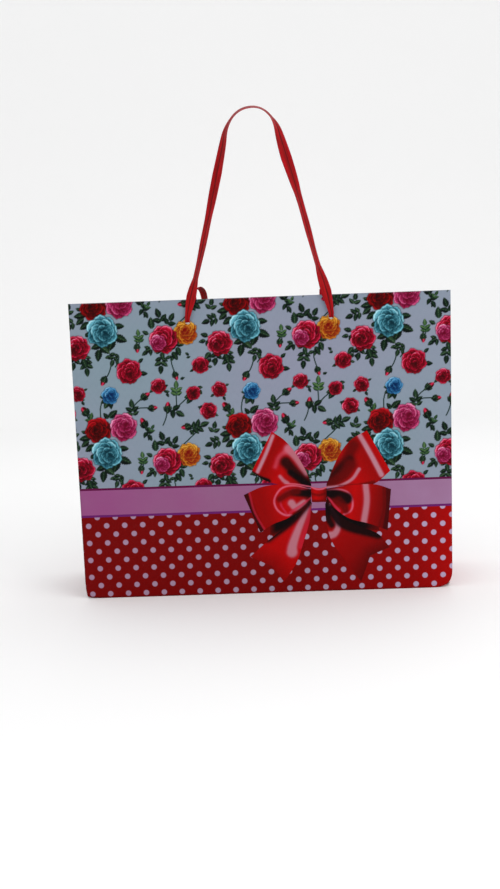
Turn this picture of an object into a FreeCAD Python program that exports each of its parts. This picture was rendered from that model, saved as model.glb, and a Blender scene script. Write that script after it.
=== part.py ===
import FreeCAD, Part
import math
import os

# Gusseted paper gift bag with a printed, laminated wall, a turned-in rim and two ribbon handles.
# The origin is the middle of the base on the floor, the printed front faces -Y, and up is +Z. Millimetres.

os.makedirs("parts", exist_ok=True)
doc = FreeCAD.newDocument("gift_bag")

# ---------------------------------------------------------------- driving dimensions
sheet = doc.addObject("Spreadsheet::Sheet", "sizes")
dimensions = [
    ("bagWidth", 420.0),          # across the printed front
    ("bagDepth", 120.0),          # front face to rear face, standing open
    ("bagHeight", 335.0),         # floor to rim
    ("paperThick", 0.35),         # laminated wall paper
    ("creaseGap", 0.3),           # free space at every folding crease
    ("hemDepth", 40.0),           # how far the rim is turned in
    ("hemInset", 9.0),            # turned-in layers stop this far from a corner crease, to fold flat
    ("stripThick", 0.8),          # cardboard strip inside the rim
    ("stripDepth", 36.0),         # height of that strip
    ("holeSpacing", 158.0),       # handle holes, centre to centre
    ("holeDrop", 24.0),           # rim down to a hole's centre
    ("holeDiameter", 6.0),
    ("knotDepth", 9.0),           # inward from the hem
    ("knotWidth", 13.0),
    ("knotTall", 12.0),
    ("neckDiameter", 4.2),        # gathered ribbon in the hole
    ("cordDiameter", 4.0),        # gathered ribbon outside the hole
    ("frontStandOff", 2.5),       # front face out to the middle of the front handle
    ("rearStandOff", 4.5),        # rear face out to the middle of the rear handle's risers
    ("riserRise", 2.0),           # how far a riser stands above the rim
    ("flapDepth", 72.0),          # front and rear base flaps, which overlap at the middle
    ("sideFlapDepth", 70.0),      # base flaps of the gussets
    ("tabWidth", 18.0),           # glued side seam
    ("tabInset", 3.0),            # seam's distance from its corner crease
    ("tabLift", 2.0),             # seam's lower end above the floor
    ("boardThick", 1.2),          # loose grey board on the base
    ("boardClear", 2.5),          # board's edge to the outer wall face
    ("boardSeat", 0.1),           # air under the loose board
]
for row, (alias, value) in enumerate(dimensions, start=1):
    sheet.set(f"A{row}", alias)
    sheet.set(f"B{row}", str(value))
    sheet.setAlias(f"B{row}", alias)
doc.recompute()
size = {alias: float(sheet.get(alias)) for alias, _ in dimensions}


def bound(formula):
    """A formula in the sheet's names, written as FreeCAD reads it."""
    for alias in sorted(size, key=len, reverse=True):
        formula = formula.replace(alias, f"sizes.{alias}")
    return formula


def place(item, x, y, z):
    item.setExpression("Placement.Base.x", bound(x))
    item.setExpression("Placement.Base.y", bound(y))
    item.setExpression("Placement.Base.z", bound(z))


def block(label, length, width, tall, x, y, z):
    """A flat rectangular sheet, bound to the sizes, with its lowest corner at x, y, z."""
    item = doc.addObject("Part::Box", label)
    item.Label = label
    item.setExpression("Length", bound(length))
    item.setExpression("Width", bound(width))
    item.setExpression("Height", bound(tall))
    place(item, x, y, z)
    return item


def rod(label, diameter, reach, x, y, z, along):
    """A round rod from x, y, z along +Y or +Z."""
    item = doc.addObject("Part::Cylinder", label)
    item.setExpression("Radius", bound(f"{diameter} / 2"))
    item.setExpression("Height", bound(reach))
    if along == "Y":
        item.Placement.Rotation = FreeCAD.Rotation(FreeCAD.Vector(1, 0, 0), -90)
    place(item, x, y, z)
    return item


def joined(label, pieces):
    item = doc.addObject("Part::MultiFuse", label)
    item.Label = label
    item.Shapes = pieces
    item.Refine = True
    return item


def punched(label, body):
    """The body with the two handle holes through it, front to rear."""
    drills = []
    for side in (-1, 1):
        drills.append(
            rod(f"{label}_drill_{'left' if side < 0 else 'right'}", "holeDiameter", "bagDepth * 1.2",
                f"{side} * holeSpacing / 2", "-bagDepth * 0.6", "bagHeight - holeDrop", "Y"))
    tool = joined(f"{label}_drills", drills)
    item = doc.addObject("Part::Cut", label)
    item.Label = label
    item.Base = body
    item.Tool = tool
    return item


nodes = []

# ---------------------------------------------------------------- front and rear walls
# Each wall is the printed sheet, a cardboard strip inside its rim, and the rim turned in over the strip.
wallLayers = {
    "front": {"skin": "-bagDepth / 2",
              "strip": "-bagDepth / 2 + paperThick",
              "hem": "-bagDepth / 2 + paperThick + stripThick"},
    "rear": {"skin": "bagDepth / 2 - paperThick",
             "strip": "bagDepth / 2 - paperThick - stripThick",
             "hem": "bagDepth / 2 - 2 * paperThick - stripThick"},
}
for wall, layer in wallLayers.items():
    skin = block(f"{wall}_sheet", "bagWidth", "paperThick", "bagHeight",
                 "-bagWidth / 2", layer["skin"], "0")
    nodes.append(punched(f"{wall}_panel", skin))
    strip = block(f"{wall}_strip", "bagWidth - 2 * hemInset", "stripThick", "stripDepth",
                  "hemInset - bagWidth / 2", layer["strip"], "bagHeight - paperThick - stripDepth")
    nodes.append(punched(f"{wall}_rim_card", strip))
    turnedDown = block(f"{wall}_turned_down", "bagWidth - 2 * hemInset", "paperThick", "hemDepth",
                       "hemInset - bagWidth / 2", layer["hem"], "bagHeight - hemDepth")
    overCard = block(f"{wall}_over_card", "bagWidth - 2 * hemInset", "stripThick", "paperThick",
                     "hemInset - bagWidth / 2", layer["strip"], "bagHeight - paperThick")
    hemBody = joined(f"{wall}_hem_body", [turnedDown, overCard])
    nodes.append(punched(f"{wall}_hem", hemBody))

# ---------------------------------------------------------------- folding side gussets
# Each side is two leaves that meet at a middle crease and fold inwards. The corner creases turn about
# the inner faces and the middle crease about the outer faces.
leafLength = "bagDepth / 2 - paperThick - 1.5 * creaseGap"
leafStart = {"front": "-bagDepth / 2 + paperThick + creaseGap", "rear": "creaseGap / 2"}
hemStart = {"front": "-bagDepth / 2 + hemInset", "rear": "creaseGap / 2"}
sideFace = {"left": ("-bagWidth / 2", "-bagWidth / 2 + paperThick"),
            "right": ("bagWidth / 2 - paperThick", "bagWidth / 2 - 2 * paperThick")}
for side, (skinX, hemX) in sideFace.items():
    for half in ("front", "rear"):
        nodes.append(block(f"{side}_gusset_{half}", "paperThick", leafLength, "bagHeight",
                           skinX, leafStart[half], "0"))
        nodes.append(block(f"{side}_gusset_{half}_hem", "paperThick",
                           "bagDepth / 2 - hemInset - creaseGap / 2", "hemDepth",
                           hemX, hemStart[half], "bagHeight - hemDepth"))

# The seam's glued tab lies on the rear wall's inner face, below the turned-in rim.
nodes.append(block("side_seam_tab", "tabWidth", "paperThick", "bagHeight - hemDepth - tabLift",
                   "bagWidth / 2 - tabInset - tabWidth", "bagDepth / 2 - 2 * paperThick", "tabLift"))

# ---------------------------------------------------------------- base
# The front and rear flaps narrow at 45 degrees from the corners and overlap; the gusset flaps lie on them.
for index, wall in enumerate(("rear", "front")):
    flap = doc.addObject("Part::Wedge", f"base_flap_{wall}")
    flap.Label = f"base_flap_{wall}"
    for name, formula in {
            "Xmin": "0", "Xmax": "bagWidth - 2 * paperThick - 2 * creaseGap",
            "X2min": "flapDepth", "X2max": "bagWidth - 2 * paperThick - 2 * creaseGap - flapDepth",
            "Ymin": "0", "Ymax": "flapDepth",
            "Zmin": "0", "Zmax": "paperThick", "Z2min": "0", "Z2max": "paperThick"}.items():
        flap.setExpression(name, bound(formula))
    if wall == "rear":
        flap.Placement.Rotation = FreeCAD.Rotation(FreeCAD.Vector(0, 0, 1), 180)
        place(flap, "bagWidth / 2 - paperThick - creaseGap", "bagDepth / 2 - paperThick - creaseGap", "0")
    else:
        place(flap, "-bagWidth / 2 + paperThick + creaseGap", "-bagDepth / 2 + paperThick",
              f"{index} * paperThick")
    nodes.append(flap)
for side, start in (("left", "-bagWidth / 2 + paperThick + creaseGap"),
                    ("right", "bagWidth / 2 - paperThick - creaseGap - sideFlapDepth")):
    nodes.append(block(f"base_flap_{side}", "sideFlapDepth", "bagDepth - 2 * paperThick - 2 * creaseGap",
                       "paperThick", start, "-bagDepth / 2 + paperThick + creaseGap", "2 * paperThick"))
nodes.append(block("base_board", "bagWidth - 2 * boardClear", "bagDepth - 2 * boardClear", "boardThick",
                   "boardClear - bagWidth / 2", "boardClear - bagDepth / 2",
                   "3 * paperThick + boardSeat"))

# ---------------------------------------------------------------- knots inside the rim
# Each ribbon end passes through its hole and is held by a knot behind the turned-in rim. At the rear the
# ribbon also stands up the outside as a short riser.
for wall, outward in (("front", -1), ("rear", 1)):
    innerFace = f"{outward} * (bagDepth / 2 - 2 * paperThick - stripThick - knotDepth / 2)"
    standOff = f"{wall}StandOff"
    for side, sign in (("left", -1), ("right", 1)):
        label = f"{wall}_knot_{side}"
        knot = doc.addObject("Part::Ellipsoid", f"{label}_ball")
        knot.setExpression("Radius1", bound("knotTall / 2"))
        knot.setExpression("Radius2", bound("knotWidth / 2"))
        knot.setExpression("Radius3", bound("knotDepth / 2"))
        place(knot, f"{sign} * holeSpacing / 2", innerFace, "bagHeight - holeDrop")
        neckReach = f"knotDepth / 2 + stripThick + 2 * paperThick + {standOff}"
        if outward < 0:
            neckStart = f"-bagDepth / 2 - {standOff}"
        else:
            neckStart = innerFace
        neck = rod(f"{label}_neck", "neckDiameter", neckReach,
                   f"{sign} * holeSpacing / 2", neckStart, "bagHeight - holeDrop", "Y")
        pieces = [knot, neck]
        if outward > 0:
            elbow = doc.addObject("Part::Sphere", f"{label}_elbow")
            elbow.setExpression("Radius", bound("neckDiameter / 2"))
            place(elbow, f"{sign} * holeSpacing / 2", "bagDepth / 2 + rearStandOff",
                  "bagHeight - holeDrop")
            riser = rod(f"{label}_riser", "cordDiameter", "holeDrop + riserRise",
                        f"{sign} * holeSpacing / 2", "bagDepth / 2 + rearStandOff",
                        "bagHeight - holeDrop", "Z")
            pieces += [elbow, riser]
        nodes.append(joined(label, pieces))

# ---------------------------------------------------------------- ribbon handles
# The routes of the ribbons' middle lines, hole to hole. The front handle is pulled up into an arch, and
# the rear one is limp: it tips over its risers and hangs behind the bag.
frontRoute = [
    (-79.0, -62.5, 314.5), (-75.0, -62.5, 334.0), (-65.5, -62.5, 364.0), (-52.0, -62.5, 416.0),
    (-40.5, -62.5, 463.0), (-33.0, -62.5, 494.0), (-28.5, -62.5, 516.0), (-14.5, -62.5, 533.5),
    (8.0, -62.5, 536.0), (24.0, -62.5, 520.5), (30.0, -62.5, 497.0), (40.0, -62.5, 464.0),
    (52.5, -62.5, 417.0), (64.5, -62.5, 368.0), (75.5, -62.5, 334.5), (79.0, -62.5, 314.5),
]
rearRoute = [
    (-79.0, 64.5, 345.0), (-77.5, 66.0, 351.0), (-71.5, 70.5, 353.5), (-67.5, 77.0, 345.0),
    (-66.0, 81.0, 322.0), (-63.5, 83.0, 286.0), (-58.0, 80.5, 243.0), (-49.0, 78.0, 206.0),
    (-34.0, 77.0, 181.0), (-8.0, 77.5, 169.0), (19.0, 77.5, 174.0), (42.0, 78.0, 197.0),
    (54.0, 79.5, 230.0), (64.0, 82.0, 262.0), (71.0, 83.5, 292.0), (75.5, 83.5, 324.0),
    (77.5, 80.0, 346.0), (79.0, 73.0, 354.0), (79.5, 66.0, 351.0), (79.0, 64.5, 345.0),
]


def ribbonTube(label, route):
    """A round tube along straight runs joined by tangent arcs."""
    points = [FreeCAD.Vector(*point) for point in route]
    edges = []
    start = points[0]
    radii = []
    for before, corner, after in zip(points, points[1:], points[2:]):
        inward = (before - corner).normalize()
        outward = (after - corner).normalize()
        turn = math.pi - inward.getAngle(outward)
        setBack = 0.45 * min((before - corner).Length, (after - corner).Length)
        radius = setBack / math.tan(turn / 2)
        radii.append(radius)
        arcStart = corner + inward * setBack
        arcEnd = corner + outward * setBack
        bisector = (inward + outward).normalize()
        middle = corner + bisector * (radius / math.cos(turn / 2) - radius)
        edges.append(Part.LineSegment(start, arcStart).toShape())
        edges.append(Part.Arc(arcStart, middle, arcEnd).toShape())
        start = arcEnd
    edges.append(Part.LineSegment(start, points[-1]).toShape())
    path = Part.Wire(edges)
    circle = Part.Circle(points[0], points[1] - points[0], size["cordDiameter"] / 2)
    sweep = path.makePipeShell([Part.Wire(circle.toShape())], True, True)
    section = math.pi * size["cordDiameter"] ** 2 / 4
    print(f"{label}: length {path.Length:.1f}, radii {[round(radius, 1) for radius in radii]}")
    print(f"{label}: volume {sweep.Volume:.0f}, section times length {section * path.Length:.0f}")
    item = doc.addObject("Part::Feature", label)
    item.Label = label
    item.Shape = sweep
    return item


def follow(route, middle, endLift):
    """The route moved with the holes, the rim and the wall; endLift moves its two ends up or down."""
    halfHole, designedRim = 79.0, 335.0
    spread = size["holeSpacing"] / 2 - halfHole
    lift = size["bagHeight"] - designedRim
    out = middle - route[0][1]
    moved = [[x + spread * max(-1, min(1, x / halfHole)), y + out, z + lift] for x, y, z in route]
    for end in (moved[0], moved[-1]):
        end[2] += endLift
    return moved


designedDrop, designedRise = 24.0, 2.0
frontMiddle = -size["bagDepth"] / 2 - size["frontStandOff"]
rearMiddle = size["bagDepth"] / 2 + size["rearStandOff"]
nodes.append(ribbonTube("front_handle", follow(frontRoute, frontMiddle, designedDrop - size["holeDrop"])))
nodes.append(ribbonTube("rear_handle", follow(rearRoute, rearMiddle, size["riserRise"] - designedRise)))

# ---------------------------------------------------------------- check and export
doc.recompute()
for item in doc.Objects:
    if "Invalid" in item.State or "Error" in item.State:
        raise SystemExit(f"{item.Name} failed: {item.State}")
labels = [item.Label for item in nodes]
if len(set(labels)) != len(labels):
    raise SystemExit("two sub-parts share a label")
for item in nodes:
    if item.Shape.isNull() or not item.Shape.isValid() or not item.Shape.Solids:
        raise SystemExit(f"{item.Label} has no valid solid")
for item in nodes:
    item.Shape.exportStep(f"parts/{item.Label}.step")
    box = item.Shape.BoundBox
    print(f"{item.Label}: {len(item.Shape.Solids)} solid, {item.Shape.Volume:.0f} mm3,"
          f" x {box.XMin:.1f}..{box.XMax:.1f} y {box.YMin:.1f}..{box.YMax:.1f}"
          f" z {box.ZMin:.1f}..{box.ZMax:.1f}")
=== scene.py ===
import math
import bmesh
import bpy
import numpy as np
from mathutils import Matrix, Vector


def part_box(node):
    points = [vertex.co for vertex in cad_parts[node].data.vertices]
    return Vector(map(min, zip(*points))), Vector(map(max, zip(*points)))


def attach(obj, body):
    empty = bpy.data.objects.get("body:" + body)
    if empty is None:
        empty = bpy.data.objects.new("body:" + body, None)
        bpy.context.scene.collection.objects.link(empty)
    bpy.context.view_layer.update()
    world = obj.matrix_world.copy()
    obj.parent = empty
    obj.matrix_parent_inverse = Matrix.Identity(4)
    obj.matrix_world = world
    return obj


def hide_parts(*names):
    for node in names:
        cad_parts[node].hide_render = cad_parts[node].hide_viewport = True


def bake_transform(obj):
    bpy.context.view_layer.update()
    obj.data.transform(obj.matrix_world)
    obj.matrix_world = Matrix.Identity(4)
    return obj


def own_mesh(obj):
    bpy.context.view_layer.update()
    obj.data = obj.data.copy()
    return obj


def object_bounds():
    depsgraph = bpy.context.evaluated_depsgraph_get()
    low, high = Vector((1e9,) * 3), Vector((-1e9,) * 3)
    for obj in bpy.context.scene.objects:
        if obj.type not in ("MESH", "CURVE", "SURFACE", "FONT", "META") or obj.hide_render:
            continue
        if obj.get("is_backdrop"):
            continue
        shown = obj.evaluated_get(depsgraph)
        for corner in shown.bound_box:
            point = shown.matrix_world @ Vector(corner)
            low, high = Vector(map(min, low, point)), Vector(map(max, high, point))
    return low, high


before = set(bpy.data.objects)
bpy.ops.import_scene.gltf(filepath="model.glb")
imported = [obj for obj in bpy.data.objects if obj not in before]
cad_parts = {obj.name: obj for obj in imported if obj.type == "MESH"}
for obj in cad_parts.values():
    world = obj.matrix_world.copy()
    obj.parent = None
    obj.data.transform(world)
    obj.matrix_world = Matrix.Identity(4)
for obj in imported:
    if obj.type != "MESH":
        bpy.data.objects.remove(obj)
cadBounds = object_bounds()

mm = 0.001
frontLow, frontHigh = (np.array(corner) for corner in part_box("front_panel"))
halfWidth = float(frontHigh[0])
halfDepth = float(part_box("rear_panel")[1][1])
rimHeight = float(frontHigh[2])
paperThick = float(frontHigh[1] - frontLow[1])
hemBottom = float(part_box("front_hem")[0][2])
knotLow, knotHigh = (np.array(corner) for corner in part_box("front_knot_right"))
holeAcross = float(knotLow[0] + knotHigh[0]) / 2
holeHeight = float(knotLow[2] + knotHigh[2]) / 2
holeRadius = 3 * mm

# ---- camera, light and floor
camera = {"place": (0.0007, -1.0603, 0.307), "pitch": -7.68, "yaw": 0.92, "roll": -2.11,
          "focal": 24.3, "film": 24.0}
studio = {"key": 5.0, "fill": 1.0, "top": 4.0, "world": 0.95, "floor": (0.93, 0.93, 0.93)}


def turned(pitch, yaw, roll):
    # camera axes: yaw about up, then pitch about the side, then roll about the view
    p, y, r = (math.radians(angle) for angle in (pitch, yaw, roll))
    spin = Matrix.Rotation(y, 3, "Z") @ Matrix.Rotation(p, 3, "X")
    ahead, up, side = spin @ Vector((0, 1, 0)), spin @ Vector((0, 0, 1)), spin @ Vector((1, 0, 0))
    right = math.cos(r) * side + math.sin(r) * up
    above = -math.sin(r) * side + math.cos(r) * up
    return Matrix((right, above, -ahead)).transposed()


def addCamera():
    data = bpy.data.cameras.new("camera")
    data.sensor_fit = "VERTICAL"
    data.sensor_height = camera["film"]
    data.lens = camera["focal"]
    item = bpy.data.objects.new("camera", data)
    bpy.context.collection.objects.link(item)
    rotation = turned(camera["pitch"], camera["yaw"], camera["roll"])
    item.matrix_world = Matrix.Translation(camera["place"]) @ rotation.to_4x4()
    bpy.context.scene.camera = item


def addArea(name, place, target, size, power):
    data = bpy.data.lights.new(name, "AREA")
    data.size = size
    data.energy = power
    item = bpy.data.objects.new(name, data)
    bpy.context.collection.objects.link(item)
    item.location = place
    item.visible_camera = False
    item.rotation_euler = (Vector(target) - Vector(place)).to_track_quat("-Z", "Y").to_euler()


addCamera()
addArea("keyLight", (1.0, -1.0, 0.9), (0.1, 0, 0.15), 0.8, studio["key"])
addArea("fillLight", (-1.2, -1.3, 0.7), (0, 0, 0.2), 1.2, studio["fill"])
addArea("topLight", (0.1, 0.6, 1.7), (0, 0, 0.2), 1.2, studio["top"])
scene = bpy.context.scene
scene.view_settings.view_transform = "Standard"
world = bpy.data.worlds.new("studio")
scene.world = world
world.use_nodes = True
world.node_tree.nodes["Background"].inputs[0].default_value = (1, 1, 1, 1)
world.node_tree.nodes["Background"].inputs[1].default_value = studio["world"]
print("camera and lights")


# ---- node and mesh helpers
def newMaterial(name, **sockets):
    item = bpy.data.materials.new(name)
    item.use_nodes = True
    shader = item.node_tree.nodes["Principled BSDF"]
    for socket, value in sockets.items():
        shader.inputs[socket.replace("_", " ")].default_value = value
    return item, item.node_tree, shader


def put(tree, kind, *inputs, **settings):
    # one node: settings first, then each input as a number, a colour or another node's socket
    item = tree.nodes.new(kind)
    for key, value in settings.items():
        setattr(item, key, value)
    for place, value in enumerate(inputs):
        if value is None:
            continue
        if isinstance(value, bpy.types.NodeSocket):
            tree.links.new(value, item.inputs[place])
        else:
            item.inputs[place].default_value = value
    return item


def calc(tree, operation, *inputs):
    return put(tree, "ShaderNodeMath", *inputs, operation=operation).outputs[0]


def ramp(tree, factor, stops):
    item = put(tree, "ShaderNodeValToRGB", factor)
    elements = item.color_ramp.elements
    while len(elements) < len(stops):
        elements.new(0.5)
    for element, (place, colour) in zip(elements, stops):
        element.position = place
        element.color = (*shown(colour), 1)
    return item.outputs[0]


def mixed(tree, factor, first, second):
    item = tree.nodes.new("ShaderNodeMix")
    item.data_type = "RGBA"
    for place, value in ((0, factor), (6, first), (7, second)):
        if isinstance(value, bpy.types.NodeSocket):
            tree.links.new(value, item.inputs[place])
        else:
            item.inputs[place].default_value = value if place == 0 else (*value, 1)
    return item.outputs[2]


def shown(colour):
    # a display colour, 0 to 255, as linear light
    return tuple((np.array(colour, float) / 255) ** 2.2)


def addBump(tree, shader, height, distance, strength=1.0):
    bump = put(tree, "ShaderNodeBump")
    bump.inputs["Strength"].default_value = strength
    bump.inputs["Distance"].default_value = distance
    tree.links.new(height, bump.inputs["Height"])
    tree.links.new(bump.outputs[0], shader.inputs["Normal"])


def gridQuads(rows, columns):
    # quads of a grid whose points run along columns first
    start = (np.arange(rows - 1)[:, None] * columns + np.arange(columns - 1)[None, :]).ravel()
    return np.stack([start, start + 1, start + columns + 1, start + columns], 1)


def makePiece(name, points, quads, materials, body, faceMaterial=None, smooth=True):
    mesh = bpy.data.meshes.new(name)
    mesh.from_pydata(np.asarray(points, float).tolist(), [], np.asarray(quads).tolist())
    for item in materials:
        mesh.materials.append(item)
    if faceMaterial is not None:
        mesh.polygons.foreach_set("material_index", np.asarray(faceMaterial, np.int32))
    mesh.polygons.foreach_set("use_smooth", np.full(len(mesh.polygons), smooth))
    mesh.update()
    item = bpy.data.objects.new(name, mesh)
    bpy.context.collection.objects.link(item)
    if body:
        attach(item, body)
    return item


def addColours(item, colours):
    # display colours for each point, kept as linear light
    layer = item.data.attributes.new("printColour", "FLOAT_COLOR", "POINT")
    linear = np.clip(colours, 0, 255) / 255
    values = np.concatenate([linear ** 2.2, np.ones((len(linear), 1))], 1)
    layer.data.foreach_set("color", values.astype(np.float32).ravel())


def addMap(item, uv, name="surfaceMap"):
    # a point's own pair of numbers, copied to every face corner that uses it
    loops = np.zeros(len(item.data.loops), np.int32)
    item.data.loops.foreach_get("vertex_index", loops)
    layer = item.data.uv_layers.new(name=name)
    layer.data.foreach_set("uv", np.asarray(uv, np.float32)[loops].ravel())


def closeSheet(outer, quads, inner):
    # a closed sheet: outer faces, inner faces turned over, and a strip along every free edge
    count = len(outer)
    edges = quads[:, [0, 1, 1, 2, 2, 3, 3, 0]].reshape(-1, 2)
    ordered = np.sort(edges, 1)
    keys = ordered[:, 0].astype(np.int64) * count + ordered[:, 1]
    _, first, uses = np.unique(keys, return_index=True, return_counts=True)
    free = edges[first[uses == 1]]
    strips = np.stack([free[:, 1], free[:, 0], free[:, 0] + count, free[:, 1] + count], 1)
    faces = np.concatenate([quads, quads[:, ::-1] + count, strips])
    kinds = np.concatenate([np.zeros(len(quads)), np.ones(len(quads)), np.ones(len(strips))])
    return np.concatenate([outer, inner]), faces, kinds.astype(np.int32)


def smoothStep(low, high, value):
    share = np.clip((value - low) / (high - low), 0, 1)
    return share * share * (3 - 2 * share)


# ---- floor
floorSize = {"reach": 12.0, "backdrop": 1.6, "curve": 0.8, "height": 3.5, "below": 0.0002}


def addFloor():
    # a flat floor that curves up into a wall behind, as one sheet
    angle = np.linspace(0, math.pi / 2, 13)
    turnY = floorSize["backdrop"] + floorSize["curve"] * np.sin(angle)
    turnZ = floorSize["curve"] * (1 - np.cos(angle))
    profileY = np.concatenate([[-floorSize["reach"]], turnY, [turnY[-1]]])
    profileZ = np.concatenate([[0], turnZ, [floorSize["height"]]])
    across = np.array([-floorSize["reach"], floorSize["reach"]])
    points = np.stack([np.tile(across, len(profileY)), np.repeat(profileY, 2),
                       np.repeat(profileZ, 2) - floorSize["below"]], 1)
    mesh = bpy.data.meshes.new("floor")
    mesh.from_pydata(points.tolist(), [], gridQuads(len(profileY), 2).tolist())
    mesh.polygons.foreach_set("use_smooth", np.full(len(mesh.polygons), True))
    material, tree, shader = newMaterial("paleFloor", Base_Color=(*studio["floor"], 1), Roughness=0.9)
    mesh.materials.append(material)
    item = bpy.data.objects.new("floor", mesh)
    bpy.context.collection.objects.link(item)
    item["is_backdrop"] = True


addFloor()

# ---- the print
# All print sizes are in millimetres. The flower field is above the band, dots below it.
printed = {"bandLow": 94.5, "bandHigh": 128.0, "bandEdge": 2.6, "tileAcross": 158.0, "tileUp": 136.2,
           "dotAcross": 20.6, "dotUp": 19.95, "dotRadius": 3.1, "dotStartX": 3.75, "dotStartZ": 4.8,
           "tileLeft": -209.0, "tileTop": 336.1, "lean": 0.016, "leanFrom": 180.0, "stemHalf": 0.42,
           "dotEdge": 0.35, "side": 210.0}

ground = np.array([127, 137, 152.0])
reds = [(40, 0, 4), (134, 2, 12), (186, 26, 40)]
crimsons = [(52, 0, 10), (166, 10, 42), (224, 120, 150)]
pinks = [(88, 0, 30), (176, 58, 104), (226, 160, 190)]
turquoises = [(8, 40, 50), (84, 150, 168), (160, 210, 222)]
blues = [(4, 34, 72), (62, 128, 176), (140, 190, 220)]
yellows = [(110, 14, 8), (188, 122, 34), (222, 170, 74)]
darkLeaf = [(6, 10, 12), (24, 44, 30), (84, 108, 78)]
freshLeaf = [(10, 26, 18), (54, 84, 50), (112, 138, 92)]
stemColour = np.array([22, 42, 34.0])

# each rose: across, down, radius, turn, petals in rings from outside, palette, where the heart lies
roses = [
    (162, -185.7, 13.8, 0.5, (8, 6, 5, 4), crimsons, (-0.30, -0.15)),
    (24, -142.7, 15.0, 0.3, (6, 5, 4, 3), reds, (-0.25, 0.18)),
    (53, -140.2, 15.6, 1.1, (7, 6, 5, 3), pinks, (0.12, 0.30)),
    (32.5, -167.7, 17.4, 0.1, (7, 6, 5, 3), turquoises, (0.28, -0.25)),
    (124.5, -172.7, 13.2, 0.4, (10, 8, 6, 4), yellows, (0.0, 0.25)),
    (100, -179.7, 15.2, 2.2, (7, 6, 5, 3), crimsons, (-0.15, -0.20)),
    (94, -182.7, 9.0, 0.9, (6, 5, 3), pinks, (0.05, -0.15)),
    (61, -77, 13.6, 1.6, (7, 6, 5, 3), crimsons, (0.12, -0.28)),
    (93, -95, 8.8, 0.6, (6, 5, 3), crimsons, (-0.1, 0.1)),
    (161, -101, 8.6, 1.9, (6, 5, 3), crimsons, (-0.1, 0.2)),
    (141, -73, 9.4, 2.6, (6, 5, 3), crimsons, (0.1, -0.2)),
    (148, -124, 9.4, 1.2, (6, 5, 3), crimsons, (0.1, -0.25)),
    (132, -104, 8.0, 0.8, (4, 3, 2), crimsons, (0.2, 0.3)),
    (39, -104, 9.8, 2.0, (6, 5, 3), blues, (0.30, 0.25)),
]
# each leaf: across and down at its stalk, heading, length, how fresh its green is
leaves = [
    (36.8, -128.3, 41, 12.6, 0), (35.7, -129.4, 127, 8.5, 0), (16.2, -129.4, 78, 8, 1),
    (16.2, -131, 170, 7, 1), (11.2, -144.9, 160, 7, 0), (15, -150.5, 185, 13, 0),
    (12.9, -153.7, 218, 11, 0), (19.4, -158.7, 212, 13, 0), (46.5, -163.3, 357, 11.5, 0),
    (46, -174.7, 338, 15.5, 0), (45.2, -176.7, 248, 15, 0), (29.7, -184.2, 320, 14, 0),
    (31, -183.2, 200, 12, 0), (28.7, -188.4, 262, 13.5, 0), (42, -193.7, 350, 6, 0),
    (41.5, -196.2, 195, 7, 0), (88, -167.7, 95, 13, 0), (84, -173.7, 150, 8, 0), (110, -193.7, 300, 11, 0),
    (86, -189.7, 205, 8, 0), (150, -177.7, 165, 9, 0), (172, -173.7, 40, 8, 0), (152, -195.7, 230, 10, 0),
    (168, -197.7, 290, 12, 0), (73, -80, 355, 9, 0), (72, -68, 40, 7, 0), (50, -69, 130, 6, 0),
    (38, -107, 205, 11, 0), (38, -108, 238, 12, 0), (39, -110, 275, 9, 0), (36, -105, 178, 9, 0),
    (131, -106, 196, 10, 0), (131, -107, 232, 11, 0), (130, -104, 160, 7, 0), (100, -95, 10, 4.5, 0),
    (99, -100, 330, 5, 0), (87, -99, 215, 5, 0), (168, -97, 30, 4.5, 0), (155, -106, 215, 5, 0),
    (148, -69, 35, 5, 0), (149, -75, 350, 5, 0), (133, -78, 205, 5, 0), (155, -128, 330, 5, 0),
    (141, -121, 160, 5, 0),
]
# each bud: across, down, radius, heading in degrees
buds = [(71, -53, 3.4, -88), (32, -88, 3.8, -118), (113, -85, 3.4, -70), (79, -105, 4.0, 35),
        (87, -119, 3.6, 5), (103, -118, 4.2, 85), (10, -119, 3.8, 130), (75, -134.7, 4.4, 115),
        (122, -141.7, 3.9, 185), (167, -120, 3.8, 125)]
# each stem: three points of a gentle curve
stems = [((35, -84), (42, -76), (43, -58)), ((112, -80), (108, -72), (108, -62)),
         ((76, -108), (69, -110), (62, -121)), ((82, -119), (72, -117), (61, -122)),
         ((102, -122), (102, -129.7), (97, -138.7)), ((29, -112), (26, -120), (28, -129.7)),
         ((77, -139.7), (80, -145.7), (80, -154.7)), ((126, -143.7), (136, -143.7), (146, -137.7)),
         ((124, -110), (116, -116), (106, -127.7)), ((140, -141.7), (126, -155.7), (116, -163.7)),
         ((112, -97), (113, -108), (113, -122)), ((11, -122), (15, -128), (17, -133.7)),
         ((168, -123), (172, -127.7), (174, -135.7)), ((73, -50), (74, -46), (73, -40)),
         ((128, -149.7), (131, -143.7), (137, -135.7)), ((49, -60), (52, -64), (46, -72))]
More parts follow.
